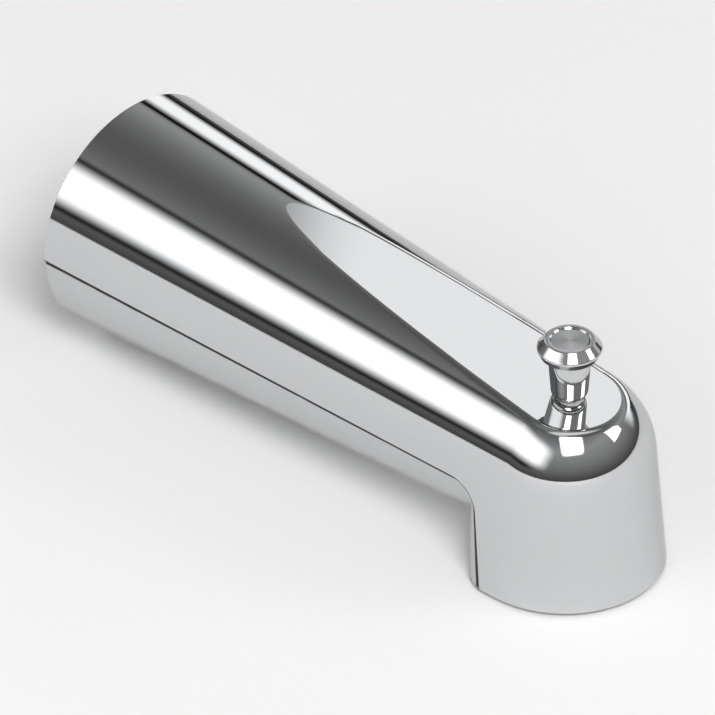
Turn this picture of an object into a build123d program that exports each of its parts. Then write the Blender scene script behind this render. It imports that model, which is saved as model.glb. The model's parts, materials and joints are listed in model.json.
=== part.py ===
from build123d import *
import math
import os

# Bath spout with a lift-knob shower diverter, made to slide onto a copper tube stub.
# Frame: +Z up, the wall is the plane Y = 0 and the spout reaches out towards -Y.
# The origin is the centre of the wall face, on the axis of the inlet tube.
# A distance called forward is measured from the wall along -Y. Sizes are in millimetres.

# Outer form of the casting
WALL_DIAMETER = 60.0
NOSE_FORWARD = 146.0
AXIS_RISE = 1.0
BODY_TAPER = 3.14
NOSE_FLARE = 4.6
MOUTH_DROP = 28.6
EDGE_ROUND = 0.3
CASTING_WALL = 2.5
CORE_STEP = 0.4

# Parting line: along the flanks, round a corner and down behind the nose
SEAM_DROP_AT_WALL = 0.7
SEAM_DROP_AT_NOSE = 1.9
SEAM_SETBACK = 4.5
SEAM_LEAN = 8.3
SEAM_CORNER = 8.0
SEAM_STEP = 0.4

# Rounded column behind the parting line, below the body
COLUMN_DEPTH = 12.5
COLUMN_LEAN = 2.0
COLUMN_FILLET = 2.0

# Flat pad on the top, under the knob
PAD_DROP = 4.5
PAD_SLOPE = 5.4
PAD_FILLET = 3.5

# Socket for the copper tube, with its seals
TUBE_DIAMETER = 15.875
SOCKET_CLEARANCE = 0.11
SOCKET_LENGTH = 26.0
SOCKET_WALL = 4.9
O_RING_SECTION = 2.6
O_RING_COUNT = 2
O_RING_ROOM = 0.1
RETAINER_LENGTH = 6.0
RETAINER_CLEARANCE = 0.35

# Waterway insert
FLANGE_FORWARD = 12.0
FLANGE_THICKNESS = 3.0
FLANGE_HUB_RADIUS = 15.5
FLANGE_CLEARANCE = 0.3
WATER_BORE = 14.0
WATER_WALL = 2.0
SHOULDER_LENGTH = 6.0
COLLAR_WALL = 1.5
COLLAR_DEPTH = 3.0

# Screws that hold the insert in the casting
SCREW_EDGE = 5.3
SCREW_DIAMETER = 3.9
SCREW_LENGTH = 14.0
SCREW_HEAD_DIAMETER = 7.0
SCREW_HEAD_HEIGHT = 2.4
SCREW_HEAD_ROUND = 1.0
SCREW_SLOT_WIDTH = 1.0
SCREW_SLOT_LENGTH = 4.0
SCREW_SLOT_DEPTH = 1.2
SCREW_BOSS_RADIUS = 4.0
SCREW_BOSS_MARGIN = 2.0
THREAD_CLEARANCE = 0.05

# Clamp screw under the body
CLAMP_FORWARD = 34.0
CLAMP_DIAMETER = 7.9
CLAMP_LENGTH = 12.0
CLAMP_HEX = 4.0
CLAMP_HEX_DEPTH = 4.5
CLAMP_CHAMFER = 0.8
CLAMP_TIP_GAP = 0.25
CLAMP_BOSS_RADIUS = 7.0
CLAMP_BOSS_GAP = 0.4
CLAMP_ACCESS_DIAMETER = 9.6

# Rod that joins the knob to the gate, its bush, gland cap and seal
KNOB_AHEAD = 1.4
ROD_DIAMETER = 4.0
ROD_CHAMFER = 0.4
ROD_CLEARANCE = 0.08
ROD_SEAL_SECTION = 1.5
ROD_SEAL_CLEARANCE = 0.05
PRESS_GAP = 0.05
BUSH_RADIUS = 3.5
BUSH_FLANGE_RADIUS = 5.2
BUSH_FLANGE_THICKNESS = 0.9
BUSH_BOSS_RADIUS = 6.5
BUSH_BOSS_DROP = 1.0
BUSH_RECESS = 0.5
GLAND_RADIUS = 6.2
GLAND_CAP_RADIUS = 4.8
GLAND_CAP_THICKNESS = 1.4
GLAND_FLOOR = 1.5

# Diverter gate and its chamber
GATE_TRAVEL = 10.0
GATE_WIDTH = 15.4
GATE_HEIGHT = 11.0
GATE_THICKNESS = 4.8
GATE_ROUND = 0.8
GATE_CLEARANCE = 0.3
GATE_ROD_DEPTH = 6.0
SEAL_THICKNESS = 1.2
SEAL_MARGIN = 0.6
SEAL_ROUND = 1.5
SEAL_BUTTON_RADIUS = 1.5
SEAL_BUTTON_LENGTH = 1.0
SEAL_BUTTON_HEIGHT = 2.6
PORT_WIDTH = 12.0
PORT_HEIGHT = 8.0
PORT_ABOVE_GATE = 0.5
PORT_ROUND = 1.2
CHAMBER_DEPTH = 14.4
CHAMBER_WALL = 1.6
CHAMBER_ROUND = 1.4
CHAMBER_HEADROOM = 1.0
CHAMBER_FOOTROOM = 0.4
RAIL_WIDTH = 1.5
COVER_THICKNESS = 1.8
COVER_SPIGOT = 1.5
COVER_CLEARANCE = 0.15

# Knob, with heights measured from its foot
KNOB_FOOT_GAP = 0.3
KNOB_FOOT_RADIUS = 4.35
KNOB_FOOT_ROUND = 2.0
KNOB_NECK_RADIUS = 5.3
KNOB_NECK_HEIGHT = 12.1
KNOB_UNDERSIDE_RADIUS = 7.1
KNOB_FLANGE_RADIUS = 7.95
KNOB_FLANGE_HEIGHT = 14.0
KNOB_FLANGE_ROUND = 0.7
KNOB_RIM_RADIUS = 6.0
KNOB_RIM_ROUND = 0.4
KNOB_HEIGHT = 16.4
KNOB_DISH_RADIUS = 5.0
KNOB_DISH_DEPTH = 0.45
KNOB_ROD_DEPTH = 9.0
ROD_END_GAP = 0.1

# Reach of the shapes that trim others, and how near an edge or face is to where it is looked for
FAR = 300.0
OVERRUN = 6.0
FIND_WITHIN = 0.03

# Directions and sizes that follow from the ones above
TAPER = math.radians(BODY_TAPER)
FLARE = math.radians(NOSE_FLARE)
LEAN = math.tan(math.radians(SEAM_LEAN))
TILT = math.atan2(AXIS_RISE, NOSE_FORWARD)
AXIS_LENGTH = math.hypot(AXIS_RISE, NOSE_FORWARD)
WALL_RADIUS = WALL_DIAMETER / 2
BALL_RADIUS = (WALL_RADIUS - AXIS_LENGTH * math.tan(TAPER)) * math.cos(TAPER)
BODY_DIRECTION = Vector(0, -math.cos(TILT), math.sin(TILT))
BALL_CENTRE = Vector(0, -NOSE_FORWARD, AXIS_RISE)
MOUTH_Z = -MOUTH_DROP

SLOPE = math.radians(PAD_SLOPE)
PAD_Z = AXIS_RISE + BALL_RADIUS - PAD_DROP
KNOB_FORWARD = NOSE_FORWARD + KNOB_AHEAD
PAD_AT_KNOB = PAD_Z - KNOB_AHEAD * math.tan(SLOPE)
PAD_UNDERSIDE = PAD_AT_KNOB - CASTING_WALL / math.cos(SLOPE)

BUSH_SEAT = PAD_UNDERSIDE - BUSH_BOSS_DROP
GLAND_TOP = BUSH_SEAT - BUSH_FLANGE_THICKNESS
GLAND_CAP_SEAT = GLAND_TOP - GLAND_CAP_THICKNESS
GLAND_SEAT = GLAND_CAP_SEAT - ROD_SEAL_SECTION - O_RING_ROOM
CHAMBER_TOP = GLAND_SEAT - GLAND_FLOOR
GATE_TOP = CHAMBER_TOP - CHAMBER_HEADROOM - GATE_TRAVEL
GATE_BOTTOM = GATE_TOP - GATE_HEIGHT
CHAMBER_BOTTOM = GATE_BOTTOM - CHAMBER_FOOTROOM - COVER_SPIGOT
GATE_BACK = KNOB_FORWARD - GATE_THICKNESS / 2
GATE_FRONT = KNOB_FORWARD + GATE_THICKNESS / 2
CHAMBER_FRONT = GATE_FRONT + SEAL_THICKNESS + GATE_CLEARANCE
CHAMBER_BACK = CHAMBER_FRONT - CHAMBER_DEPTH
CHAMBER_HALF_WIDTH = GATE_WIDTH / 2 + GATE_CLEARANCE

ROD_RADIUS = ROD_DIAMETER / 2
ROD_BORE_RADIUS = ROD_RADIUS + ROD_CLEARANCE
ROD_SEAL_RADIUS = ROD_RADIUS + ROD_SEAL_CLEARANCE + ROD_SEAL_SECTION / 2
ROD_SEAL_SEAT_RADIUS = ROD_SEAL_RADIUS + ROD_SEAL_SECTION / 2 + PRESS_GAP
KNOB_FOOT = PAD_AT_KNOB + KNOB_FOOT_GAP
ROD_BOTTOM = GATE_TOP - GATE_ROD_DEPTH + ROD_END_GAP
ROD_TOP = KNOB_FOOT + KNOB_ROD_DEPTH - ROD_END_GAP

WATER_RADIUS = WATER_BORE / 2
SOCKET_RADIUS = TUBE_DIAMETER / 2 + SOCKET_CLEARANCE
SOCKET_OUTER_RADIUS = SOCKET_RADIUS + SOCKET_WALL
O_RING_PITCH = O_RING_SECTION + O_RING_ROOM
O_RING_SEAT_RADIUS = SOCKET_RADIUS + O_RING_PITCH
RETAINER_END = FLANGE_FORWARD + RETAINER_LENGTH
SOCKET_START = RETAINER_END + O_RING_COUNT * O_RING_PITCH
SOCKET_END = SOCKET_START + SOCKET_LENGTH
SHOULDER_END = SOCKET_END + SHOULDER_LENGTH
WATERWAY_START = SHOULDER_END - COLLAR_DEPTH
WATERWAY_RADIUS = WATER_RADIUS + WATER_WALL
COLLAR_RADIUS = WATERWAY_RADIUS + PRESS_GAP + COLLAR_WALL
FLANGE_FRONT = FLANGE_FORWARD + FLANGE_THICKNESS
SCREW_OFFSET = WALL_RADIUS - FLANGE_FRONT * math.tan(TAPER) - CASTING_WALL - SCREW_EDGE
SCREW_END = FLANGE_FORWARD + SCREW_LENGTH
CLAMP_RADIUS = CLAMP_DIAMETER / 2
CLAMP_TOP = -SOCKET_RADIUS - CLAMP_TIP_GAP
CLAMP_BOTTOM = CLAMP_TOP - CLAMP_LENGTH

UPWARDS = (Align.CENTER, Align.CENTER, Align.MIN)
DOWNWARDS = (Align.CENTER, Align.CENTER, Align.MAX)


def level_plane(forward, height):
    """A level plane with its origin on the middle of the spout."""
    return Plane(origin=(0, -forward, height))


def upright_plane(forward):
    """A plane parallel to the wall that faces out towards the nose."""
    return Plane(origin=(0, -forward, 0), x_dir=(1, 0, 0), z_dir=(0, -1, 0))


def side_prism(outline):
    """A wide slab from a closed outline in the side view."""
    return extrude(Plane.YZ * make_face(outline), FAR, both=True)


def side_wedge(*points):
    """A wide slab from side view corners, each given as forward and height."""
    corners = [(-forward, height) for forward, height in points]
    return side_prism(Polyline(*corners, close=True))


def block(half_width, back, front, bottom, top):
    """A box on the middle of the spout."""
    box = Box(2 * half_width, front - back, top - bottom)
    return Pos(0, -(front + back) / 2, (bottom + top) / 2) * box


def post(forward, bottom, top, radius):
    """An upright cylinder on the middle of the spout."""
    return level_plane(forward, bottom) * Cylinder(radius, top - bottom, align=UPWARDS)


def bar(back, front, radius, offset=0.0):
    """A cylinder that runs square to the wall, moved sideways by an offset."""
    cylinder = Cylinder(radius, front - back, align=UPWARDS)
    return upright_plane(back) * Pos(offset, 0) * cylinder


def body_radius(distance):
    """Radius of the tapered body at a distance along its axis."""
    return WALL_RADIUS - distance * math.tan(TAPER)


def body_cone(start, end, inset):
    """The tapered body between two distances along its axis."""
    shrink = inset / math.cos(TAPER)
    cone = Cone(body_radius(start) - shrink, body_radius(end) - shrink, end - start, align=UPWARDS)
    return Plane(origin=BODY_DIRECTION * start, z_dir=BODY_DIRECTION) * cone


def nose_cone(inset, top, bottom):
    """The flared nose between two heights."""
    rim = (BALL_RADIUS - inset) / math.cos(FLARE)
    upper = rim + (AXIS_RISE - top) * math.tan(FLARE)
    lower = rim + (AXIS_RISE - bottom) * math.tan(FLARE)
    cone = Cone(lower, upper, top - bottom, align=DOWNWARDS)
    return level_plane(NOSE_FORWARD, top) * cone


def flank_normal(side):
    """Outward direction of the flat flank that touches the body, the ball and the nose."""
    up = math.sin(FLARE)
    forward = (math.sin(TAPER) - up * math.sin(TILT)) / math.cos(TILT)
    return Vector(side * math.sqrt(1 - up ** 2 - forward ** 2), -forward, up)


def flank_touch(side):
    """The point where a flank touches the ball."""
    return BALL_CENTRE + flank_normal(side) * BALL_RADIUS


def flank_half_width(forward, height):
    """Half width between the two flanks at a place of the side view."""
    normal = flank_normal(1)
    touch = flank_touch(1)
    return touch.X + ((touch.Y + forward) * normal.Y + (touch.Z - height) * normal.Z) / normal.X


def seam_line():
    """Side view of the parting line, from behind the wall to below the mouth."""
    leg_foot = NOSE_FORWARD - SEAM_SETBACK
    leg_top = leg_foot - (MOUTH_DROP - SEAM_DROP_AT_NOSE) * LEAN
    fall = (SEAM_DROP_AT_NOSE - SEAM_DROP_AT_WALL) / leg_top
    return FilletPolyline(
        (OVERRUN, OVERRUN * fall - SEAM_DROP_AT_WALL),
        (-leg_top, -SEAM_DROP_AT_NOSE),
        (-leg_foot - OVERRUN * LEAN, MOUTH_Z - OVERRUN),
        radius=SEAM_CORNER,
    )


def flank_slab(corner, behind, foot):
    """The stretch between the two flat flanks, down to the parting line."""
    seam = seam_line()
    back = Polyline(seam @ 1, (-foot[0], foot[1]), (-corner[0], corner[1]), (OVERRUN, behind), seam @ 0)
    slab = side_prism(Wire([*seam.edges(), *back.edges()]))
    for side in (1, -1):
        flank = Plane(origin=flank_touch(side), z_dir=flank_normal(side))
        slab = split(slab, bisect_by=flank, keep=Keep.BOTTOM)
    return slab


def on_seam(edge, seam):
    """Whether an edge follows the parting line in the side view."""
    middle = edge @ 0.5
    return seam.distance_to(Vertex(0, middle.Y, middle.Z)) < FIND_WITHIN


def upper_skin():
    """Body, ball, flared nose and flanks, which meet along lines where they are tangent."""
    touch = flank_touch(1)
    forward, height = -touch.Y, touch.Z
    body_tip = BALL_CENTRE + BODY_DIRECTION * (BALL_RADIUS / math.sin(TAPER))
    nose_tip_z = AXIS_RISE + BALL_RADIUS / math.sin(FLARE)
    back_slope = (height - body_tip.Z) / (forward + body_tip.Y)
    foot_slope = (forward - NOSE_FORWARD) / (nose_tip_z - height)
    behind = height - (forward + OVERRUN) * back_slope
    floor = MOUTH_Z - OVERRUN
    corner = (forward, height)
    foot = (forward + (height - floor) * foot_slope, floor)
    crown = (forward - FAR * math.tan(TILT), height + FAR)
    body = side_wedge(corner, crown, (-OVERRUN, crown[1]), (-OVERRUN, behind))
    body &= body_cone(-2 * OVERRUN, AXIS_LENGTH + OVERRUN, 0)
    ball = side_wedge(corner, (FAR, height), (FAR, crown[1]), crown)
    ball &= Pos(*BALL_CENTRE) * Sphere(BALL_RADIUS)
    nose = side_wedge(corner, (FAR, height), (FAR, floor), foot)
    nose &= nose_cone(0, height, floor - OVERRUN)
    skin = body + ball + nose + flank_slab(corner, behind, foot)
    seam = Plane.YZ * seam_line()
    steep = flank_normal(1).X - FIND_WITHIN
    flanks = [face for face in skin.faces() if abs(face.normal_at().X) > steep]
    rims = [edge for face in flanks for edge in face.edges() if on_seam(edge, seam)]
    return fillet(rims, EDGE_ROUND)


def oval(half_width, half_depth):
    """An ellipse of two halves that join at its front and its back."""
    size = (half_width, half_depth)
    return make_face([EllipticalCenterArc((0, 0), *size, start, arc_size=180) for start in (-90, 90)])


def column(inset, top):
    """The rounded column behind the parting line, from below the mouth up to a height."""
    sections = []
    for height in (MOUTH_Z - OVERRUN, top):
        forward = NOSE_FORWARD - SEAM_SETBACK - COLUMN_LEAN * (height - MOUTH_Z) / MOUTH_DROP
        half_width = flank_half_width(forward, height) - SEAM_STEP - inset
        sections.append(level_plane(forward, height) * oval(half_width, COLUMN_DEPTH - inset))
    return loft(sections)


def joins_column(box):
    """Whether an edge with this box lies where the column meets the body."""
    return box.min.Z > MOUTH_Z and box.size.X > COLUMN_DEPTH


def lower_skin():
    """Underside of the body and the column, a step inside the upper skin."""
    body = body_cone(-OVERRUN, NOSE_FORWARD - SEAM_SETBACK, SEAM_STEP)
    # Half a turn keeps the seam of the cone's surface away from the fillet
    body = body.rotate(Axis((0, 0, 0), BODY_DIRECTION), 180)
    skin = body + column(0, 0)
    curved = skin.edges().filter_by(GeomType.BSPLINE)
    corner = [edge for edge in curved if joins_column(edge.bounding_box())]
    return fillet(corner, COLUMN_FILLET)


def trimmed(skin):
    """A skin cut off at the wall and at the mouth, with the mouth's outer edge rounded."""
    column_back = NOSE_FORWARD - SEAM_SETBACK - COLUMN_DEPTH - OVERRUN
    cut = skin - block(FAR, -FAR, 0, -FAR, FAR)
    cut -= block(FAR, column_back, FAR, -FAR, MOUTH_Z)
    mouth = cut.faces().filter_by(Axis.Z).sort_by(Axis.Z)[0]
    rim = [edge for edge in mouth.edges() if edge.bounding_box().size.Y > EDGE_ROUND]
    return fillet(rim, EDGE_ROUND)


def pad_plane(drop):
    """The plane of the pad on the top, or one a drop below it."""
    normal = Vector(0, -math.sin(SLOPE), math.cos(SLOPE))
    return Plane(origin=Vector(0, -NOSE_FORWARD, PAD_Z) - normal * drop, z_dir=normal)


def outer_form():
    """The whole outside of the casting as a solid, with the flat pad and its soft edge."""
    form = trimmed(upper_skin()) + trimmed(lower_skin())
    plane = pad_plane(0)
    form = split(form, bisect_by=plane, keep=Keep.BOTTOM)
    flats = form.faces().filter_by(GeomType.PLANE)
    pad = [face for face in flats if abs(plane.to_local_coords(face.center()).Z) < FIND_WITHIN]
    return fillet(pad[0].edges(), PAD_FILLET)


def casting_core():
    """The hollow of the casting, open at the wall and at the mouth."""
    shrink = CASTING_WALL / math.cos(TAPER)
    radius = BALL_RADIUS - CASTING_WALL
    half_turn = (math.pi / 2 + TAPER) / 2
    tangent = (radius * math.cos(TAPER), AXIS_LENGTH + radius * math.sin(TAPER))
    middle = (radius * math.cos(half_turn), AXIS_LENGTH + radius * math.sin(half_turn))
    end = (0, AXIS_LENGTH + radius)
    start = (body_radius(-OVERRUN) - shrink, -OVERRUN)
    outline = Polyline(end, (0, -OVERRUN), start, tangent) + ThreePointArc(tangent, middle, end)
    frame = Plane(origin=(0, 0, 0), x_dir=(1, 0, 0), z_dir=Vector(1, 0, 0).cross(BODY_DIRECTION))
    body = revolve(frame * make_face(outline), Axis((0, 0, 0), BODY_DIRECTION))
    nose = nose_cone(CASTING_WALL + CORE_STEP, AXIS_RISE, MOUTH_Z - OVERRUN)
    core = body + nose + column(CASTING_WALL, -CASTING_WALL)
    return split(core, bisect_by=pad_plane(CASTING_WALL), keep=Keep.BOTTOM)


def screw_boss(side):
    """A boss on the inside of the flank for one of the insert's screws."""
    end = SCREW_END + SCREW_BOSS_MARGIN
    reach = Pos(side * (SCREW_OFFSET + WALL_RADIUS) / 2, -(FLANGE_FRONT + end) / 2, 0)
    web = reach * Box(WALL_RADIUS - SCREW_OFFSET, end - FLANGE_FRONT, SCREW_BOSS_RADIUS)
    return bar(FLANGE_FRONT, end, SCREW_BOSS_RADIUS, side * SCREW_OFFSET) + web


def spout_body():
    """The chromed casting: a hollow shell with bosses for the screws and the bush."""
    outside = outer_form()
    bosses = screw_boss(1) + screw_boss(-1)
    bosses += post(CLAMP_FORWARD, -FAR, -SOCKET_OUTER_RADIUS - CLAMP_BOSS_GAP, CLAMP_BOSS_RADIUS)
    bosses += post(KNOB_FORWARD, BUSH_SEAT, FAR, BUSH_BOSS_RADIUS)
    body = outside - casting_core() + (bosses & outside)
    screw_hole = SCREW_DIAMETER / 2 + THREAD_CLEARANCE
    for side in (1, -1):
        body -= bar(FLANGE_FORWARD, SCREW_END + SCREW_BOSS_MARGIN / 2, screw_hole, side * SCREW_OFFSET)
    body -= post(CLAMP_FORWARD, -FAR, 0, CLAMP_RADIUS + THREAD_CLEARANCE)
    body -= post(CLAMP_FORWARD, -FAR, CLAMP_BOTTOM, CLAMP_ACCESS_DIAMETER / 2)
    body -= post(KNOB_FORWARD, 0, FAR, BUSH_RADIUS + PRESS_GAP)
    return body


def rounded_block(half_width, back, front, bottom, top, radius):
    """A box with rounded upright edges."""
    box = block(half_width, back, front, bottom, top)
    return fillet(box.edges().filter_by(Axis.Z), radius)


def flange():
    """The two-eared plate that the insert is screwed on by."""
    hub = Circle(FLANGE_HUB_RADIUS)
    ear = Circle(SCREW_EDGE - FLANGE_CLEARANCE)
    ears = [Pos(side * SCREW_OFFSET, 0) * ear for side in (1, -1)]
    outline = make_hull([edge for circle in (hub, *ears) for edge in circle.edges()])
    plate = extrude(upright_plane(FLANGE_FORWARD) * outline, FLANGE_THICKNESS)
    for side in (1, -1):
        plate -= bar(0, FLANGE_FRONT + OVERRUN, SCREW_DIAMETER / 2 + FLANGE_CLEARANCE, side * SCREW_OFFSET)
    return plate


def chamber_room():
    """The space that the gate moves in, with a rail left standing behind each of its edges."""
    room = block(CHAMBER_HALF_WIDTH, CHAMBER_BACK, CHAMBER_FRONT, CHAMBER_BOTTOM, CHAMBER_TOP)
    rail_front = GATE_BACK - GATE_CLEARANCE
    rail_bottom = CHAMBER_BOTTOM + COVER_SPIGOT
    rails = block(CHAMBER_HALF_WIDTH, rail_front - RAIL_WIDTH, rail_front, rail_bottom, CHAMBER_TOP)
    rails -= block(CHAMBER_HALF_WIDTH - RAIL_WIDTH, 0, FAR, CHAMBER_BOTTOM, CHAMBER_TOP)
    return room - rails


def port():
    """The outlet that the raised gate closes."""
    middle = GATE_TOP + PORT_ABOVE_GATE + PORT_HEIGHT / 2
    outline = Pos(0, middle) * RectangleRounded(PORT_WIDTH, PORT_HEIGHT, PORT_ROUND)
    return extrude(upright_plane(CHAMBER_FRONT) * outline, 2 * CHAMBER_WALL)


def ring(back, front, outer_radius, inner_radius):
    """A plain ring square to the wall."""
    return bar(back, front, outer_radius) - bar(back, front, inner_radius)


def inlet_socket():
    """The moulded inlet: flange, tube socket with room for the seals, and a collar for the waterway."""
    shoulder = Cone(SOCKET_OUTER_RADIUS, COLLAR_RADIUS, SHOULDER_LENGTH, align=UPWARDS)
    inlet = flange() + bar(FLANGE_FORWARD, SOCKET_END, SOCKET_OUTER_RADIUS)
    inlet += upright_plane(SOCKET_END) * shoulder
    inlet -= bar(FLANGE_FORWARD, SOCKET_START, O_RING_SEAT_RADIUS)
    inlet -= bar(SOCKET_START, SOCKET_END, SOCKET_RADIUS)
    inlet -= bar(SOCKET_END, SHOULDER_END, WATER_RADIUS)
    inlet -= bar(WATERWAY_START, SHOULDER_END, WATERWAY_RADIUS + PRESS_GAP)
    return inlet - post(CLAMP_FORWARD, -SOCKET_OUTER_RADIUS, 0, CLAMP_RADIUS + FLANGE_CLEARANCE)


def waterway():
    """The tube that takes the water from the inlet to the diverter."""
    return ring(WATERWAY_START, CHAMBER_BACK - CHAMBER_WALL, WATERWAY_RADIUS, WATER_RADIUS)


def diverter_chamber():
    """The moulded chamber round the gate, with a collar for the waterway and a gland for the rod."""
    wall = CHAMBER_WALL
    back = CHAMBER_BACK - wall
    outer = (CHAMBER_HALF_WIDTH + wall, back, CHAMBER_FRONT + wall)
    chamber = rounded_block(*outer, CHAMBER_BOTTOM, CHAMBER_TOP + wall, CHAMBER_ROUND)
    chamber += post(KNOB_FORWARD, CHAMBER_TOP, GLAND_TOP, GLAND_RADIUS)
    chamber += ring(back - COLLAR_DEPTH, back, COLLAR_RADIUS, WATERWAY_RADIUS + PRESS_GAP)
    chamber -= chamber_room()
    chamber -= bar(back, CHAMBER_BACK, WATER_RADIUS)
    chamber -= port()
    chamber -= post(KNOB_FORWARD, CHAMBER_TOP - wall, GLAND_TOP, ROD_BORE_RADIUS)
    chamber -= post(KNOB_FORWARD, GLAND_SEAT, GLAND_TOP, ROD_SEAL_SEAT_RADIUS)
    return chamber - post(KNOB_FORWARD, GLAND_CAP_SEAT, GLAND_TOP, GLAND_CAP_RADIUS + PRESS_GAP)


def inlet_o_ring(index):
    """One of the seals that grip the copper tube."""
    middle = RETAINER_END + (index + 0.5) * O_RING_PITCH
    radius = SOCKET_RADIUS + O_RING_PITCH - O_RING_SECTION / 2 - O_RING_ROOM / 2
    return upright_plane(middle) * Torus(radius, O_RING_SECTION / 2)


def o_ring_retainer():
    """The ring that keeps the seals in, with a lead-in for the tube."""
    bore = SOCKET_RADIUS + RETAINER_CLEARANCE
    plain = ring(FLANGE_FORWARD, RETAINER_END, O_RING_SEAT_RADIUS - PRESS_GAP, bore)
    mouth = plain.faces().sort_by(Axis.Y)[-1]
    return chamfer(mouth.edges().sort_by(SortBy.RADIUS)[0], (O_RING_SEAT_RADIUS - bore) / 2)


def retaining_screw(side):
    """A pan-head screw through one ear of the flange."""
    offset = side * SCREW_OFFSET
    head_back = FLANGE_FORWARD - SCREW_HEAD_HEIGHT
    head = bar(head_back, FLANGE_FORWARD, SCREW_HEAD_DIAMETER / 2, offset)
    crown = head.faces().sort_by(Axis.Y)[-1]
    head = fillet(crown.edges(), SCREW_HEAD_ROUND)
    slot = Box(SCREW_SLOT_LENGTH, 2 * SCREW_SLOT_DEPTH, SCREW_SLOT_WIDTH)
    for turn in (0, 90):
        head -= Pos(offset, -head_back) * Rot(0, turn, 0) * slot
    return head + bar(FLANGE_FORWARD, SCREW_END, SCREW_DIAMETER / 2, offset)


def set_screw():
    """The socket screw that clamps the spout to the copper tube."""
    screw = post(CLAMP_FORWARD, CLAMP_BOTTOM, CLAMP_TOP, CLAMP_RADIUS)
    ends = screw.edges().filter_by(GeomType.CIRCLE)
    screw = chamfer(ends, CLAMP_CHAMFER)
    socket = RegularPolygon(CLAMP_HEX / 2, 6, major_radius=False)
    return screw - extrude(level_plane(CLAMP_FORWARD, CLAMP_BOTTOM) * socket, CLAMP_HEX_DEPTH)


def diverter_gate():
    """The gate that the rod lifts across the outlet."""
    gate = rounded_block(GATE_WIDTH / 2, GATE_BACK, GATE_FRONT, GATE_BOTTOM, GATE_TOP, GATE_ROUND)
    gate -= post(KNOB_FORWARD, GATE_TOP - GATE_ROD_DEPTH, GATE_TOP, ROD_RADIUS + THREAD_CLEARANCE)
    button = Pos(0, 0, GATE_BOTTOM + SEAL_BUTTON_HEIGHT)
    depth = SEAL_BUTTON_LENGTH + THREAD_CLEARANCE
    return gate - button * bar(GATE_FRONT - depth, GATE_FRONT, SEAL_BUTTON_RADIUS + THREAD_CLEARANCE)


def gate_seal():
    """The rubber face of the gate, with a button that holds it on."""
    size = (GATE_WIDTH - 2 * SEAL_MARGIN, GATE_HEIGHT - 2 * SEAL_MARGIN)
    outline = Pos(0, GATE_BOTTOM + GATE_HEIGHT / 2) * RectangleRounded(*size, SEAL_ROUND)
    face = extrude(upright_plane(GATE_FRONT) * outline, SEAL_THICKNESS)
    button = bar(GATE_FRONT - SEAL_BUTTON_LENGTH, GATE_FRONT, SEAL_BUTTON_RADIUS)
    return face + Pos(0, 0, GATE_BOTTOM + SEAL_BUTTON_HEIGHT) * button


def lift_rod():
    """The rod between the gate and the knob."""
    rod = post(KNOB_FORWARD, ROD_BOTTOM, ROD_TOP, ROD_RADIUS)
    return chamfer(rod.edges().filter_by(GeomType.CIRCLE), ROD_CHAMFER)


def lift_knob():
    """The turned pull knob, with a waisted foot, a rounded flange and a dished top."""
    foot = (KNOB_FOOT_RADIUS, 0)
    underside = (KNOB_UNDERSIDE_RADIUS, KNOB_NECK_HEIGHT)
    flange_edge = (KNOB_FLANGE_RADIUS, KNOB_FLANGE_HEIGHT)
    rim = (KNOB_RIM_RADIUS, KNOB_HEIGHT)
    lip = (KNOB_DISH_RADIUS, KNOB_HEIGHT)
    dish = (KNOB_DISH_RADIUS - KNOB_DISH_DEPTH, KNOB_HEIGHT - KNOB_DISH_DEPTH)
    neck = (KNOB_NECK_RADIUS, KNOB_NECK_HEIGHT)
    outline = (foot, neck, underside, flange_edge, rim, lip, dish)
    profile = make_face(Polyline((0, 0), *outline, (0, dish[1]), close=True))
    rounds = {foot: KNOB_FOOT_ROUND, flange_edge: KNOB_FLANGE_ROUND}
    rounds |= {rim: KNOB_RIM_ROUND, lip: KNOB_RIM_ROUND}
    for point, radius in rounds.items():
        near = profile.vertices().sort_by_distance((*point, 0))[0]
        profile = fillet(near, radius)
    place = upright_plane(KNOB_FORWARD) * Pos(0, KNOB_FOOT)
    knob = revolve(place * profile, Axis((0, -KNOB_FORWARD, 0), (0, 0, 1)))
    rod_end = KNOB_FOOT + KNOB_ROD_DEPTH
    return knob - post(KNOB_FORWARD, KNOB_FOOT, rod_end, ROD_RADIUS + THREAD_CLEARANCE)


def rod_bushing():
    """The plastic bush that guides the rod through the pad."""
    bush = post(KNOB_FORWARD, GLAND_TOP, BUSH_SEAT, BUSH_FLANGE_RADIUS)
    bush += post(KNOB_FORWARD, BUSH_SEAT, PAD_AT_KNOB - BUSH_RECESS, BUSH_RADIUS)
    return bush - post(KNOB_FORWARD, GLAND_TOP, PAD_AT_KNOB, ROD_BORE_RADIUS)


def rod_o_ring():
    """The seal round the rod, at the top of the chamber."""
    thickness = ROD_SEAL_SECTION / 2
    return level_plane(KNOB_FORWARD, GLAND_SEAT + thickness) * Torus(ROD_SEAL_RADIUS, thickness)


def gland_cap():
    """The ring pressed in over the rod's seal."""
    cap = post(KNOB_FORWARD, GLAND_CAP_SEAT, GLAND_TOP, GLAND_CAP_RADIUS)
    return cap - post(KNOB_FORWARD, GLAND_CAP_SEAT, GLAND_TOP, ROD_BORE_RADIUS)


def chamber_cover():
    """The plate that closes the chamber from below, with a spigot that centres it."""
    wall = CHAMBER_WALL
    outer = (CHAMBER_HALF_WIDTH + wall, CHAMBER_BACK - wall, CHAMBER_FRONT + wall)
    gap = COVER_CLEARANCE
    inner = (CHAMBER_HALF_WIDTH - gap, CHAMBER_BACK + gap, CHAMBER_FRONT - gap)
    plate = rounded_block(*outer, CHAMBER_BOTTOM - COVER_THICKNESS, CHAMBER_BOTTOM, CHAMBER_ROUND)
    return plate + block(*inner, CHAMBER_BOTTOM, CHAMBER_BOTTOM + COVER_SPIGOT)


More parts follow.
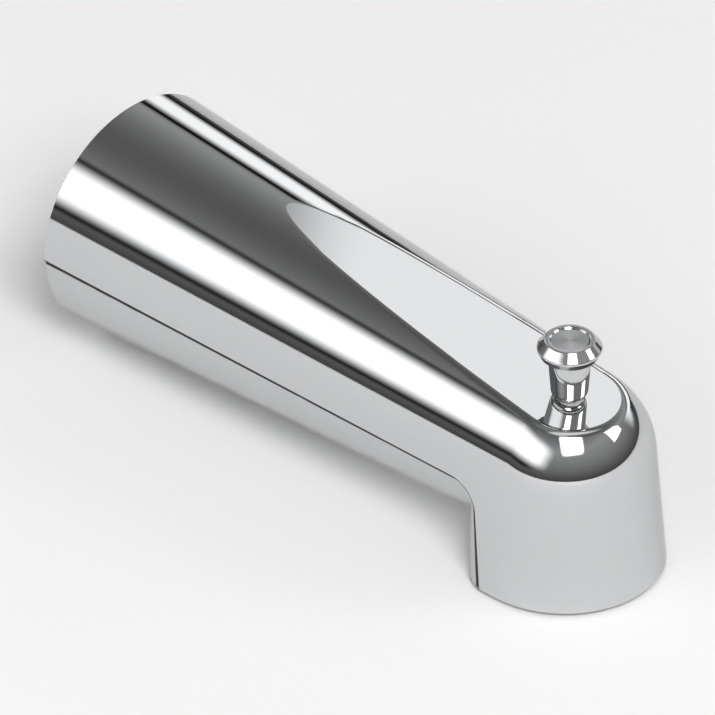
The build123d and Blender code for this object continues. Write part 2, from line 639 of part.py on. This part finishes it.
nodes = {
    "spout_body": spout_body(),
    "inlet_socket": inlet_socket(),
    "waterway": waterway(),
    "diverter_chamber": diverter_chamber(),
    "o_ring_retainer": o_ring_retainer(),
    "retaining_screws": retaining_screw(1) + retaining_screw(-1),
    "set_screw": set_screw(),
    "chamber_cover": chamber_cover(),
    "rod_bushing": rod_bushing(),
    "rod_o_ring": rod_o_ring(),
    "gland_cap": gland_cap(),
    "diverter_gate": diverter_gate(),
    "gate_seal": gate_seal(),
    "lift_rod": lift_rod(),
    "lift_knob": lift_knob(),
}
for number in range(O_RING_COUNT):
    nodes[f"inlet_o_ring_{number + 1}"] = inlet_o_ring(number)

os.makedirs("parts", exist_ok=True)
for name, shape in nodes.items():
    shape.label = name
    export_step(shape, f"parts/{name}.step")
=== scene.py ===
import json
import math

import bpy
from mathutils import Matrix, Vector


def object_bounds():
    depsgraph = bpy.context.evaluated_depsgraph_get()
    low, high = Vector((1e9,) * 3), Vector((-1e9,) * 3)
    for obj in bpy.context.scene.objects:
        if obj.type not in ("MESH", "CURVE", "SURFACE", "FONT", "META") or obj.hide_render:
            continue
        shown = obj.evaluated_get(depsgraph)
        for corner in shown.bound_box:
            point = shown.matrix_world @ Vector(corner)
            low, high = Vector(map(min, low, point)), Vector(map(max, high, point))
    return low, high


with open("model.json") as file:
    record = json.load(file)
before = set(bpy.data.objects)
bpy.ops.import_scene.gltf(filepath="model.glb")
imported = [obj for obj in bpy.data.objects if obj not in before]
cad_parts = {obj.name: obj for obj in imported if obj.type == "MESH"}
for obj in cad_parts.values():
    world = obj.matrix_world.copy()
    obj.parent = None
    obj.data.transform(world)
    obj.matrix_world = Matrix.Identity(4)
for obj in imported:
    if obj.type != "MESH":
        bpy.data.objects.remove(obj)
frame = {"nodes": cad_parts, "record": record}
cad_low, cad_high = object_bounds()

# Form of the casting in metres, as the part has it. Forward is measured from the wall along -Y.
WALL_RADIUS = 0.030
TAPER = math.radians(3.14)
NOSE_FORWARD = 0.146
AXIS_RISE = 0.001
AXIS_TILT = math.atan2(AXIS_RISE, NOSE_FORWARD)
AXIS_LENGTH = math.hypot(AXIS_RISE, NOSE_FORWARD)
BALL_RADIUS = (WALL_RADIUS - AXIS_LENGTH * math.tan(TAPER)) * math.cos(TAPER)
FLARE = math.radians(4.6)
MOUTH_DROP = 0.0286
PAD_DROP = 0.0045
PAD_HEIGHT = AXIS_RISE + BALL_RADIUS - PAD_DROP
PAD_SLOPE = math.radians(5.4)
PAD_FILLET = 0.0035
COLUMN_FORWARD = 0.1405
COLUMN_DEPTH = 0.0125
COLUMN_HALF_WIDTH = 0.0215
KNOB_FORWARD = 0.1474
ROD_HOLE_RADIUS = 0.0037

# Parting line in the side view, as forward and height: along the flank, then down behind the nose
SEAM_START = Vector((0.0, -0.0007))
SEAM_TURN = Vector((0.137605, -0.0019))
SEAM_FOOT = Vector((0.1415, -0.0286))
SEAM_CORNER = 0.008
SEAM_STEP = 0.0004

# Depths in metres: the plated skin, and how far the mesh's facets lie above and below the true form
SKIN_DEPTH = 0.0013
FACET_RISE = 0.000004
FACET_SAG = 0.00014
FACET_SAG_BESIDE_PAD = 0.0005

# Widths of the blends between the forms of the chrome, and the least value to divide by
FINE_BLEND = 0.00002
FORM_BLEND = 0.0001
LEAST_DIVISOR = 0.000001

# Ranges, from start to end, over which one part of the chrome gives way to the next
SEAM_HEIGHTS = (-0.001, 0.0)
PAD_SIDE_HEIGHTS = (0.004, 0.005)
WALL_EDGE = (0.001, 0.0015)
NOSE_FRONT = (0.0009, 0.0012)
WORN_DEPTHS = (0.00006, 0.0002)
WORN_LEANS = (0.965, 0.985)
# Where the painted shade along the parting line fades in below the line and out again above it
PAINTED_SHADE_START = (-0.0013, -0.00085)
PAINTED_SHADE_END = (0.0003, 0.0005)

# Pitch of the rings that the lathe leaves
KNOB_RINGS = 0.00035
BRASS_RINGS = 0.0003

# View of the drawing: true isometric, with its middle on this point of the spout
VIEW_POINT = Vector((0.0, -0.07633, -0.00598))
VIEW_BACK = Vector((-1.0, -1.0, 1.0)).normalized()
PICTURE_WIDTH = 0.17105
LENS = 1300.0
SENSOR = 36.0
STUDIO_MIDDLE = (0.0, -0.09, 0.0)
FLOOR_SIZE = 6.0
FLOOR_GAP = 0.0001


class Wire:
    """A value on its way through a finish: sums on it add Math nodes."""

    def __init__(self, finish, socket):
        self.finish = finish
        self.socket = socket

    def sum(self, operation, *values):
        return self.finish.node("Math", {"operation": operation}, dict(enumerate(values)))

    def __add__(self, other):
        return self.sum("ADD", self, other)

    def __radd__(self, other):
        return self.sum("ADD", other, self)

    def __sub__(self, other):
        return self.sum("SUBTRACT", self, other)

    def __rsub__(self, other):
        return self.sum("SUBTRACT", other, self)

    def __mul__(self, other):
        return self.sum("MULTIPLY", self, other)

    def __rmul__(self, other):
        return self.sum("MULTIPLY", other, self)

    def __truediv__(self, other):
        return self.sum("DIVIDE", self, other)

    def __rtruediv__(self, other):
        return self.sum("DIVIDE", other, self)

    def root(self):
        return self.sum("SQRT", self)

    def size(self):
        return self.sum("ABSOLUTE", self)

    def sign(self):
        return self.sum("SIGN", self)

    def sine(self):
        return self.sum("SINE", self)

    def least(self, other):
        return self.sum("MINIMUM", self, other)

    def most(self, other):
        return self.sum("MAXIMUM", self, other)

    def step(self, low, high):
        """0 below low, 1 above high and a smooth rise between."""
        inputs = {"Value": self, "From Min": low, "From Max": high}
        return self.finish.node("MapRange", {"interpolation_type": "SMOOTHSTEP"}, inputs)


class Finish:
    """The look of a material or of the room, made node by node."""

    def __init__(self, owner):
        self.owner = owner
        owner.use_nodes = True
        self.tree = owner.node_tree
        self.tree.nodes.clear()

    def node(self, kind, settings=None, inputs=None, output=0):
        """Adds a node of a kind, sets it up, feeds its sockets and gives one of its outputs."""
        made = self.tree.nodes.new("ShaderNode" + kind)
        for key, value in (settings or {}).items():
            if key == "stops":
                self.set_stops(made.color_ramp, value)
            else:
                setattr(made, key, value)
        for key, value in (inputs or {}).items():
            socket = made.inputs[key]
            if isinstance(value, Wire):
                self.tree.links.new(value.socket, socket)
            else:
                socket.default_value = value
        return Wire(self, made.outputs[output]) if made.outputs else None

    @staticmethod
    def set_stops(ramp, stops):
        while len(ramp.elements) < len(stops):
            ramp.elements.new(1.0)
        for element, (place, colour) in zip(ramp.elements, stops):
            element.position = place
            element.color = colour

    def place(self):
        """Place on the part, in metres in the part's own frame."""
        return self.node("TexCoord", output="Object")

    def axes(self):
        """The same place as three values."""
        made = self.node("SeparateXYZ", inputs={"Vector": self.place()}).socket.node
        return [Wire(self, socket) for socket in made.outputs]

    def noise(self, size, detail=2.0, stretch=(1.0, 1.0, 1.0)):
        """Cloudy values around 0.5, with clouds of a size in metres."""
        place = self.node("Mapping", inputs={"Vector": self.place(), "Scale": stretch})
        inputs = {"Vector": place, "Scale": 1.0 / size, "Detail": detail}
        return self.node("TexNoise", inputs=inputs)

    def blend(self, amount, first, second):
        """A colour between two others. The Mix node's colour sockets are 6, 7 and output 2."""
        return self.node("Mix", {"data_type": "RGBA"}, {0: amount, 6: first, 7: second}, 2)

    def blend_ways(self, amount, first, second):
        """A direction between two others. The Mix node's vector sockets are 4, 5 and output 1."""
        return self.node("Mix", {"data_type": "VECTOR"}, {0: amount, 4: first, 5: second}, 1)

    def bump(self, height, depth, **base):
        """A surface that rises by a depth in metres where the height is 1."""
        inputs = {"Height": height, "Distance": depth, "Strength": 1.0, **base}
        return self.node("Bump", inputs=inputs)

    def surface(self, **sockets):
        """Ends the finish in one shader. Socket names have _ for spaces."""
        inputs = {key.replace("_", " "): value for key, value in sockets.items()}
        shader = self.node("BsdfPrincipled", inputs=inputs)
        self.node("OutputMaterial", inputs={"Surface": shader})
        return self.owner


def new_finish(name):
    return Finish(bpy.data.materials.new(name))


def grey(value, warmth=0.0):
    """A grey, a little warm above 0 and cool below."""
    return (value * (1 + warmth), value, value * (1 - warmth), 1.0)


class Casting:
    """Places on the casting, measured from the round forms that it is made of."""

    def __init__(self, finish):
        self.finish = finish
        self.x, self.y, self.z = finish.axes()
        self.forward = -1.0 * self.y
        self.ahead = self.forward - NOSE_FORWARD
        self.drop = AXIS_RISE - self.z
        slope_rise = self.z - PAD_HEIGHT
        self.pad_depth = self.ahead * -math.sin(PAD_SLOPE) - slope_rise * math.cos(PAD_SLOPE)

    def body(self):
        """Depth below the tapered body, the way that its skin faces and the place along its axis."""
        x, y, z = self.x, self.y, self.z
        along = z * math.sin(AXIS_TILT) - y * math.cos(AXIS_TILT)
        lift = z * math.cos(AXIS_TILT) + y * math.sin(AXIS_TILT)
        radius = (x * x + lift * lift).root()
        depth = (WALL_RADIUS - along * math.tan(TAPER) - radius) * math.cos(TAPER)
        spread = math.cos(TAPER) / radius
        back = lift * spread * math.sin(AXIS_TILT) - math.sin(TAPER) * math.cos(AXIS_TILT)
        up = lift * spread * math.cos(AXIS_TILT) + math.sin(TAPER) * math.sin(AXIS_TILT)
        return depth, (x * spread, back, up), along

    def ball(self):
        """Depth below the ball at the nose, and the way that it faces."""
        x, ahead, drop = self.x, self.ahead, self.drop
        radius = (x * x + ahead * ahead + drop * drop).root()
        spread = 1.0 / radius
        return BALL_RADIUS - radius, (x * spread, ahead * spread * -1.0, drop * spread * -1.0)

    def nose(self):
        """Depth below the flared nose, and the way that it faces."""
        radius = (self.x * self.x + self.ahead * self.ahead).root()
        rim = BALL_RADIUS / math.cos(FLARE) + self.drop * math.tan(FLARE)
        spread = math.cos(FLARE) / radius
        facing = (self.x * spread, self.ahead * spread * -1.0, math.sin(FLARE))
        return (rim - radius) * math.cos(FLARE), facing

    def inside(self):
        """1 on the hollow side of the casting and 0 on its outside."""
        body = self.body()[0].least(NOSE_FORWARD - self.forward)
        nose = self.nose()[0].least(self.drop + SKIN_DEPTH * 2)
        behind = (self.forward - COLUMN_FORWARD) * (1 / COLUMN_DEPTH)
        across = self.x * (1 / COLUMN_HALF_WIDTH)
        column = (1.0 - (behind * behind + across * across).root()) * COLUMN_DEPTH
        column = column.least(self.drop + SKIN_DEPTH * 2)
        depth = body.most(nose).most(self.ball()[0]).most(column)
        depth = depth.least(self.pad_depth).least(self.z + MOUTH_DROP + SKIN_DEPTH)
        return depth.step(SKIN_DEPTH * 0.85, SKIN_DEPTH * 1.15)

    def flank(self):
        """Depth below the flat flank along body, ball and nose, and the way that it faces."""
        up = math.sin(FLARE)
        out = (math.sin(TAPER) - up * math.sin(AXIS_TILT)) / math.cos(AXIS_TILT)
        side = math.sqrt(1 - up * up - out * out)
        rise = self.x.size() * side + self.ahead * out - self.drop * up
        return BALL_RADIUS - rise, (self.x.sign() * side, -out, up)

    def on_skin(self, depth, sag=FACET_SAG):
        """1 where a depth is that of the faceted skin and 0 off it."""
        below_top = depth.step(-FACET_RISE, -FACET_RISE / 4)
        return below_top * (1.0 - depth.step(sag, sag + FINE_BLEND))

    def with_pad(self, depth, on_skin, facing):
        """Carries a skin over the pad's soft edge and onto the pad, whose tip is polished away."""
        back, up = -math.sin(PAD_SLOPE), math.cos(PAD_SLOPE)
        lean = facing[1] * back + facing[2] * up
        turn = (1.0 - self.pad_depth * (1 / PAD_FILLET)).most(lean).least(1.0)
        worn = (1.0 - depth.step(*WORN_DEPTHS)) * lean.step(*WORN_LEANS)
        turn = turn + (lean - turn) * worn
        share = ((1.0 - turn * turn) / (1.0 - lean * lean).most(LEAST_DIVISOR)).root()
        rest = turn - share * lean
        way = (facing[0] * share, facing[1] * share + rest * back, facing[2] * share + rest * up)
        at_knob = self.forward - KNOB_FORWARD
        from_rod = (self.x * self.x + at_knob * at_knob).root()
        off_hole = from_rod.step(ROD_HOLE_RADIUS, ROD_HOLE_RADIUS + FORM_BLEND)
        on_pad = 1.0 - (self.pad_depth - PAD_FILLET * (1.0 - lean)).step(0.0, FINE_BLEND)
        return on_skin.most(on_pad * off_hole), way

    def facing(self):
        """The way that the skin faces, exact on its plain forms and as meshed elsewhere."""
        body, body_facing, along = self.body()
        ball, ball_facing = self.ball()
        nose, nose_facing = self.nose()
        flank, flank_facing = self.flank()
        ball_start = AXIS_LENGTH + BALL_RADIUS * math.sin(TAPER)
        nose_top = AXIS_RISE + BALL_RADIUS * math.sin(FLARE)
        front = along.step(ball_start - FORM_BLEND, ball_start + FORM_BLEND)
        low = 1.0 - self.z.step(nose_top - FORM_BLEND, nose_top + FORM_BLEND)
        lower = self.on_skin(body - SEAM_STEP) * (1.0 - self.z.step(*SEAM_HEIGHTS))
        beside_pad = self.z.step(*PAD_SIDE_HEIGHTS) * self.forward.step(*WALL_EDGE)
        upper = self.on_skin(body).most(self.on_skin(body, FACET_SAG_BESIDE_PAD) * beside_pad)
        upper, upper_facing = self.with_pad(body, upper, body_facing)
        tip, tip_facing = self.with_pad(ball, self.on_skin(ball), ball_facing)
        exact = (
            (self.on_skin(flank), flank_facing),
            (lower, body_facing),
            (upper * (1.0 - front), upper_facing),
            (tip * front * (1.0 - low), tip_facing),
            (self.on_skin(nose) * self.ahead.step(*NOSE_FRONT) * low, nose_facing),
        )
        finish = self.finish
        result = finish.node("NewGeometry", output="Normal")
        turn = {"vector_type": "NORMAL", "convert_from": "OBJECT", "convert_to": "WORLD"}
        for amount, way in exact:
            way = finish.node("CombineXYZ", inputs=dict(enumerate(way)))
            way = finish.node("VectorTransform", turn, {"Vector": way})
            result = finish.blend_ways(amount, result, way)
        return result


def seam_rise(finish):
    """How far a place lies outside the parting line in the side view, below 0 where it is set back."""
    x, y, z = finish.axes()

    def along(direction, start):
        return y * -direction.x + z * direction.y - start.dot(direction)

    flank = (SEAM_TURN - SEAM_START).normalized()
    leg = (SEAM_TURN - SEAM_FOOT).normalized()
    flank_out = Vector((-flank.y, flank.x))
    leg_out = Vector((leg.y, -leg.x))
    middle = SEAM_TURN - (flank_out + leg_out) * (SEAM_CORNER / (1 + flank_out.dot(leg_out)))
    straight = along(flank_out, SEAM_START).most(along(leg_out, SEAM_FOOT))
    ahead = -1.0 * y - middle.x
    up = z - middle.y
    corner = (ahead * ahead + up * up).root() - SEAM_CORNER
    in_corner = along(flank, middle).least(along(leg, middle)).step(-FINE_BLEND, FINE_BLEND)
    return straight + in_corner * (corner - straight)


def lathe_rings(across, pitch):
    """A wave that repeats at the pitch of the lathe."""
    return (across * (2 * math.pi / pitch)).sine()


def polished_chrome():
    """Mirror chrome outside with a painted dark, rougher line of shade just under the parting line's
    step, dull cast metal inside.
    """
    finish = new_finish("polished_chrome")
    casting = Casting(finish)
    inside = casting.inside()
    rise = seam_rise(finish)
    # Painted shade: a band just under the parting line's step, where the overhang would shade the
    # lower skin
    painted_seam_shade = rise.step(*PAINTED_SHADE_START) * (1.0 - rise.step(*PAINTED_SHADE_END))
    smudge = finish.noise(0.03, 4.0).step(0.52, 0.75)
    cloud = finish.noise(0.055)
    grain = finish.noise(0.0009, 3.0)
    plate = finish.blend(cloud, grey(0.60, -0.012), grey(0.64, -0.008))
    cast = finish.blend(grain, grey(0.30, 0.01), grey(0.44, 0.01))
    # In the painted shade the chrome's colour goes near black
    plate = finish.blend(painted_seam_shade, plate, grey(0.05))
    rough = 0.035 + smudge * 0.035 + painted_seam_shade * 0.4
    rough = rough + inside * (0.5 + grain * 0.2 - rough)
    wave = finish.noise(0.02, 1.0)
    height = wave * 0.02 + inside * grain
    return finish.surface(
        Base_Color=finish.blend(inside, plate, cast),
        Specular_Tint=grey(0.79),
        Metallic=1.0 - inside * 0.25,
        Roughness=rough,
        Normal=finish.bump(height, 0.0001, Normal=casting.facing()),
    )


def turned_chrome():
    """Chrome with faint rings from the lathe."""
    finish = new_finish("turned_chrome")
    x, y, z = finish.axes()
    ahead = y + KNOB_FORWARD
    rings = lathe_rings((x * x + ahead * ahead).root(), KNOB_RINGS)
    cloud = finish.noise(0.004, 3.0)
    return finish.surface(
        Base_Color=finish.blend(cloud, grey(0.60, -0.012), grey(0.65, -0.008)),
        Specular_Tint=grey(0.79),
        Metallic=1.0,
        Roughness=0.045 + cloud * 0.04,
        Normal=finish.bump(rings, 0.0000012),
    )


def moulded(name, dark, light):
    """Moulded acetal with a fine satin skin."""
    finish = new_finish(name)
    flow = finish.noise(0.012, 3.0, stretch=(1.0, 0.35, 1.0))
    skin = finish.noise(0.0006)
    return finish.surface(
        Base_Color=finish.blend(flow, dark, light),
        Roughness=0.38 + skin * 0.16,
        Normal=finish.bump(skin, 0.00002),
    )


def black_rubber():
    """Moulded rubber with a dusty bloom."""
    finish = new_finish("black_rubber")
    bloom = finish.noise(0.003, 4.0)
    return finish.surface(
        Base_Color=finish.blend(bloom.step(0.35, 0.8), grey(0.014), grey(0.05)),
        Roughness=0.55 + bloom * 0.25,
        Normal=finish.bump(bloom, 0.00003),
    )


def turned_brass():
    """Brass with rings from the lathe along its height."""
    finish = new_finish("turned_brass")
    x, y, z = finish.axes()
    rings = lathe_rings(z, BRASS_RINGS)
    tarnish = finish.noise(0.004, 4.0)
    return finish.surface(
        Base_Color=finish.blend(tarnish, (0.72, 0.50, 0.19, 1.0), (0.83, 0.64, 0.30, 1.0)),
        Metallic=1.0,
        Roughness=0.22 + tarnish * 0.15,
        Normal=finish.bump(rings, 0.000004),
    )


def screw_steel():
    """Machined stainless steel."""
    finish = new_finish("screw_steel")
    streak = finish.noise(0.002, 3.0, stretch=(1.0, 0.2, 1.0))
    return finish.surface(
        Base_Color=finish.blend(streak, grey(0.45, 0.01), grey(0.62, 0.01)),
        Metallic=1.0,
        Roughness=0.24 + streak * 0.16,
        Normal=finish.bump(streak, 0.00001),
    )


def floor_paper():
    """Pale studio paper."""
    finish = new_finish("floor_paper")
    cloud = finish.noise(0.25, 3.0)
    return finish.surface(
        Base_Color=finish.blend(cloud, grey(0.86), grey(0.88)),
        Roughness=0.75 + cloud * 0.1,
    )


FINISHES = {
    "polished_chrome": polished_chrome(),
    "knob_chrome": turned_chrome(),
    "moulded_grey": moulded("moulded_grey", grey(0.33), grey(0.40)),
    "moulded_white": moulded("moulded_white", grey(0.72, 0.02), grey(0.80, 0.02)),
    "black_rubber": black_rubber(),
    "turned_brass": turned_brass(),
    "screw_steel": screw_steel(),
}


def dress_nodes():
    """Gives each piece of the part the finish of its slot."""
    for piece in frame["record"]["subparts"]:
        node = frame["nodes"][piece["node"]]
        node.data.materials.clear()
        node.data.materials.append(FINISHES[piece["material_slot"]])


def flat_sheet(name, width, height, material):
    """A flat sheet round its own middle."""
    x, y = width / 2, height / 2
    mesh = bpy.data.meshes.new(name)
    mesh.from_pydata([(-x, -y, 0.0), (x, -y, 0.0), (x, y, 0.0), (-x, y, 0.0)], [], [(0, 1, 2, 3)])
    mesh.materials.append(material)
    return bpy.data.objects.new(name, mesh)


def pale_floor():
    """A wide floor just under the part."""
    floor = flat_sheet("floor", FLOOR_SIZE, FLOOR_SIZE, floor_paper())
    floor.location.z = cad_low.z - FLOOR_GAP
    bpy.context.scene.collection.objects.link(floor)


def aim(thing, place, target):
    """Puts a light or card in its place, facing a target."""
    thing.location = place
    thing.rotation_euler = (Vector(target) - Vector(place)).to_track_quat("-Z", "Y").to_euler()
    thing.visible_camera = False
    bpy.context.scene.collection.objects.link(thing)


def soft_light(name, place, size, power):
    """A soft box that lights the floor and the part."""
    light = bpy.data.lights.new(name, "AREA")
    light.shape = "RECTANGLE"
    light.size, light.size_y = size
    light.energy = power
    aim(bpy.data.objects.new(name, light), place, STUDIO_MIDDLE)


def edge_fade(across, size, fade):
    """1 in the middle of a card and 0 at its edges, with the fade as a share of its size."""
    return 1.0 - across.size().step(size * (0.5 - fade), size * 0.5)


def glow(name, size, strength, fade):
    """An even glow that fades out to clear at the edges of a card."""
    finish = new_finish(name)
    x, y, z = finish.axes()
    amount = edge_fade(x, size[0], fade[0]) * edge_fade(y, size[1], fade[1])
    clear = finish.node("BsdfTransparent")
    light = finish.node("Emission", inputs={"Strength": strength})
    shader = finish.node("MixShader", inputs={0: amount, 1: clear, 2: light})
    finish.node("OutputMaterial", inputs={"Surface": shader})
    return finish.owner


def glow_card(name, place, size, strength, fade):
    """A glowing card for the chrome to mirror, or a black flag where the strength is 0."""
    card = flat_sheet(name, *size, glow(name, size, strength, fade))
    aim(card, place, STUDIO_MIDDLE)


def room_walls():
    """A room that is dim near the horizon and overhead, and paler between."""
    room = Finish(bpy.data.worlds.new("room"))
    split = room.node("SeparateXYZ", inputs={"Vector": room.node("TexCoord", output="Generated")})
    height = Wire(room, split.socket.node.outputs["Z"])
    tones = {0.0: 0.08, 0.3: 0.26, 0.6: 0.40, 0.88: 0.12, 1.0: 0.3}
    stops = [(place, grey(tone)) for place, tone in tones.items()]
    colour = room.node("ValToRGB", {"stops": stops}, {"Fac": height})
    room.node("OutputWorld", inputs={"Surface": room.node("Background", inputs={"Color": colour})})
    bpy.context.scene.world = room.owner


def studio():
    """A soft box for the floor, glowing cards and black flags for the chrome, and the room."""
    soft_light("fill_box", (1.3, -1.6, 1.3), (0.8, 0.8), 8.0)
    glow_card("key_card", (-0.9, -1.5, 1.7), (1.3, 1.3), 16.0, (0.3, 0.3))
    glow_card("overhead_card", (0.0, -0.30, 1.3), (1.6, 0.5), 1.0, (0.3, 0.3))
    glow_card("wall_end_card", (0.25, 1.5, 0.75), (1.4, 0.9), 1.1, (0.3, 0.3))
    glow_card("pad_card", (0.389, 0.183, 0.479), (0.150, 0.130), 1.25, (0.25, 0.25))
    glow_card("near_flank_card", (-1.40, 0.35, 0.85), (3.1, 1.3), 2.0, (0.3, 0.35))
    glow_card("near_flank_flag", (-1.45, 0.60, 0.88), (2.7, 1.6), 0.0, (0.3, 0.12))
    glow_card("far_flank_card", (1.40, 0.35, 0.50), (3.1, 0.7), 1.5, (0.3, 0.35))
    glow_card("far_flank_flag", (1.45, 0.60, 0.53), (2.7, 1.0), 0.0, (0.3, 0.12))
    room_walls()
    bpy.context.scene.view_settings.view_transform = "Standard"


def drawing_camera():
    """A long lens at the drawing's isometric angle."""
    data = bpy.data.cameras.new("camera")
    data.lens = LENS
    data.sensor_width = SENSOR
    camera = bpy.data.objects.new("camera", data)
    camera.location = VIEW_POINT + VIEW_BACK * (PICTURE_WIDTH * LENS / SENSOR)
    camera.rotation_euler = (-VIEW_BACK).to_track_quat("-Z", "Y").to_euler()
    bpy.context.scene.collection.objects.link(camera)
    bpy.context.scene.camera = camera


dress_nodes()
pale_floor()
studio()
drawing_camera()
